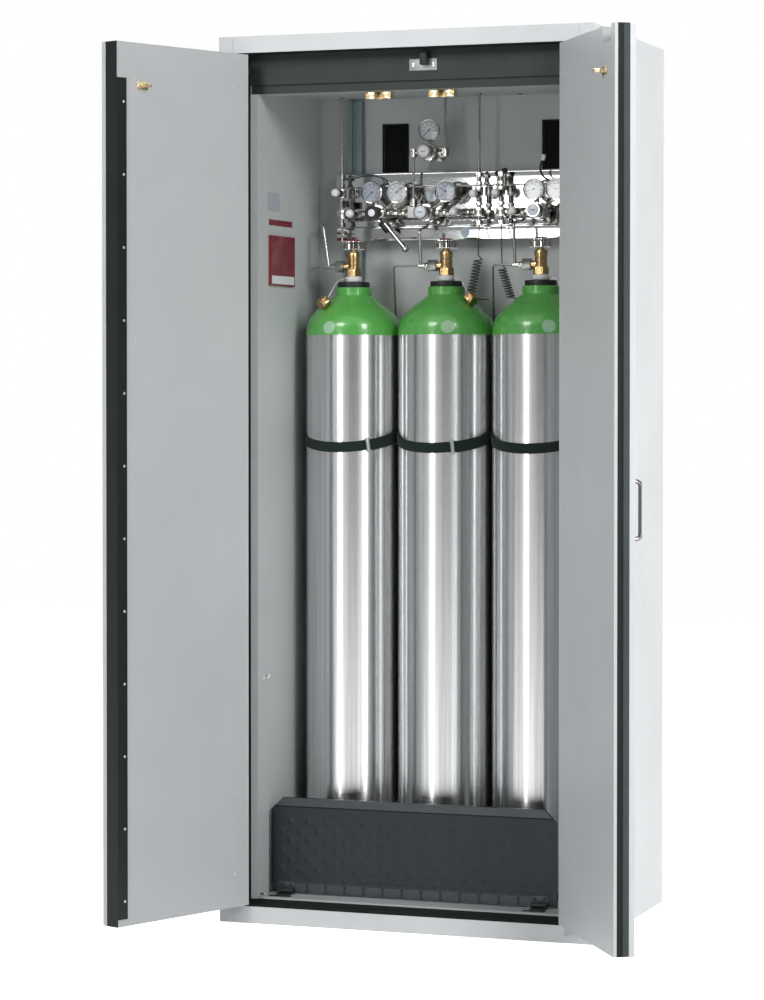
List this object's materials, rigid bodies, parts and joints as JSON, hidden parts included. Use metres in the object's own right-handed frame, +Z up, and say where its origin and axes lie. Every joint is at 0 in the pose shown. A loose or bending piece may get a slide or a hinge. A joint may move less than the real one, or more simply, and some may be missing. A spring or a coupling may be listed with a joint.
{
  "type": "gas cylinder cabinet",
  "caption": "Tall grey two-door fire-resistant cabinet, open, with strapped gas cylinders on a floor tray, a roll-in ramp and a gas panel with regulators on the rear wall.",
  "frame": {"origin": "centre of the carcass's underside, on the floor", "axes": "+X to the right of someone who faces the doors, +Y from the doors to the rear wall, +Z up"},
  "size_m": [1.2131, 1.0105, 2.05],
  "materials": {
    "painted_steel": "satin light grey powder coat",
    "lined_board": "grey laminate on fire board",
    "seal_strip": "matte",
    "dark_plastic": "matte",
    "header_plate": "satin",
    "hose": "matte",
    "stainless_steel": "brushed",
    "chromed_brass": "polished",
    "brass": "satin",
    "aluminium": "satin",
    "webbing": "woven",
    "ramp_plate": "satin slate",
    "zinc_plated": "satin",
    "red_plastic": "gloss",
    "white_plastic": "satin"
  },
  "bodies": {
    "cabinet": {"ball_catch_left": "brass", "ball_catch_right": "brass", "base_plinth": "painted_steel", "ceiling_board": "lined_board", "coil_hose_left": "hose", "coil_hose_right": "hose", "cylinder_1": "aluminium", "cylinder_2": "aluminium", "cylinder_3": "aluminium", "cylinder_valve_1": "brass", "cylinder_valve_2": "brass", "cylinder_valve_3": "brass", "document_holder": "red_plastic", "floor_tray": "lined_board", "frame_seal": "seal_strip", "gas_panel": "stainless_steel", "gas_station_left": "chromed_brass", "gas_station_middle": "chromed_brass", "gas_station_right": "chromed_brass", "header_cover": "header_plate", "latch_bracket": "zinc_plated", "line_regulator": "chromed_brass", "mounting_rail": "zinc_plated", "pigtail_1": "stainless_steel", "pigtail_2": "stainless_steel", "pigtail_3": "stainless_steel", "rear_board": "lined_board", "rear_panel": "painted_steel", "side_panel_left": "painted_steel", "side_panel_right": "painted_steel", "strap_1": "webbing", "strap_2": "webbing", "strap_3": "webbing", "strap_rail": "zinc_plated", "top_panel": "painted_steel", "vent_grille_left": "dark_plastic", "vent_grille_right": "dark_plastic", "wall_board_left": "lined_board", "wall_board_right": "lined_board"},
    "left_door": {"left_door_shell": "painted_steel", "left_door_board": "lined_board", "left_door_meeting_profile": "seal_strip"},
    "right_door": {"right_door_shell": "painted_steel", "right_door_board": "lined_board", "right_door_edge_seal": "seal_strip", "door_handle": "chromed_brass"},
    "ramp": {"ramp": "ramp_plate"},
    "handwheel_1": {"handwheel_1": "chromed_brass"},
    "handwheel_2": {"handwheel_2": "chromed_brass"},
    "handwheel_3": {"handwheel_3": "chromed_brass"},
    "regulator_knob_1": {"regulator_knob_1": "white_plastic"},
    "regulator_knob_2": {"regulator_knob_2": "white_plastic"},
    "regulator_knob_3": {"regulator_knob_3": "white_plastic"},
    "regulator_knob_4": {"regulator_knob_4": "white_plastic"},
    "valve_knob_1": {"valve_knob_1": "white_plastic"},
    "valve_knob_2": {"valve_knob_2": "white_plastic"},
    "valve_knob_3": {"valve_knob_3": "white_plastic"},
    "valve_knob_4": {"valve_knob_4": "white_plastic"},
    "valve_knob_5": {"valve_knob_5": "white_plastic"},
    "valve_knob_6": {"valve_knob_6": "white_plastic"}
  },
  "joints": [
    {"name": "left_door_hinge", "type": "hinge", "parent": "cabinet", "child": "left_door", "pos_m": [-0.4135, -0.305, 1], "axis": [0, 0, -1], "range_deg": [-112.4, 12.6]},
    {"name": "right_door_hinge", "type": "hinge", "parent": "cabinet", "child": "right_door", "pos_m": [0.4135, -0.305, 1], "axis": [0, 0, 1], "range_deg": [-122.5, 2.5]},
    {"name": "ramp_hinge", "type": "hinge", "parent": "cabinet", "child": "ramp", "pos_m": [0, -0.20595, 0.063], "axis": [1, 0, 0], "range_deg": [0, 98]},
    {"name": "handwheel_1_turn", "type": "hinge", "parent": "cabinet", "child": "handwheel_1", "pos_m": [-0.233, 0.007, 1.5674], "axis": [0, 0, 1], "range_deg": [0, 540]},
    {"name": "handwheel_2_turn", "type": "hinge", "parent": "cabinet", "child": "handwheel_2", "pos_m": [0, 0.007, 1.5674], "axis": [0, 0, 1], "range_deg": [0, 540]},
    {"name": "handwheel_3_turn", "type": "hinge", "parent": "cabinet", "child": "handwheel_3", "pos_m": [0.233, 0.007, 1.5674], "axis": [0, 0, 1], "range_deg": [0, 540]},
    {"name": "regulator_knob_1_turn", "type": "hinge", "parent": "cabinet", "child": "regulator_knob_1", "pos_m": [-0.19, 0.0337, 1.656], "axis": [0, 1, 0], "range_deg": [0, 540]},
    {"name": "regulator_knob_2_turn", "type": "hinge", "parent": "cabinet", "child": "regulator_knob_2", "pos_m": [-0.068, 0.0337, 1.656], "axis": [0, 1, 0], "range_deg": [0, 540]},
    {"name": "regulator_knob_3_turn", "type": "hinge", "parent": "cabinet", "child": "regulator_knob_3", "pos_m": [0.211, 0.0337, 1.656], "axis": [0, 1, 0], "range_deg": [0, 540]},
    {"name": "regulator_knob_4_turn", "type": "hinge", "parent": "cabinet", "child": "regulator_knob_4", "pos_m": [-0.06, 0.0337, 1.8], "axis": [0, 1, 0], "range_deg": [0, 540]},
    {"name": "valve_knob_1_turn", "type": "hinge", "parent": "cabinet", "child": "valve_knob_1", "pos_m": [-0.286, 0.0402, 1.706], "axis": [0, -1, 0], "range_deg": [0, 270]},
    {"name": "valve_knob_2_turn", "type": "hinge", "parent": "cabinet", "child": "valve_knob_2", "pos_m": [-0.24925, 0.0402, 1.656], "axis": [0, -1, 0], "range_deg": [0, 270]},
    {"name": "valve_knob_3_turn", "type": "hinge", "parent": "cabinet", "child": "valve_knob_3", "pos_m": [0.0127, 0.0402, 1.656], "axis": [0, -1, 0], "range_deg": [0, 270]},
    {"name": "valve_knob_4_turn", "type": "hinge", "parent": "cabinet", "child": "valve_knob_4", "pos_m": [0.061, 0.0402, 1.6976], "axis": [0, -1, 0], "range_deg": [0, 270]},
    {"name": "valve_knob_5_turn", "type": "hinge", "parent": "cabinet", "child": "valve_knob_5", "pos_m": [0.116, 0.0402, 1.6997], "axis": [0, -1, 0], "range_deg": [0, 270]},
    {"name": "valve_knob_6_turn", "type": "hinge", "parent": "cabinet", "child": "valve_knob_6", "pos_m": [0.158, 0.0402, 1.656], "axis": [0, -1, 0], "range_deg": [0, 270]}
  ]
}
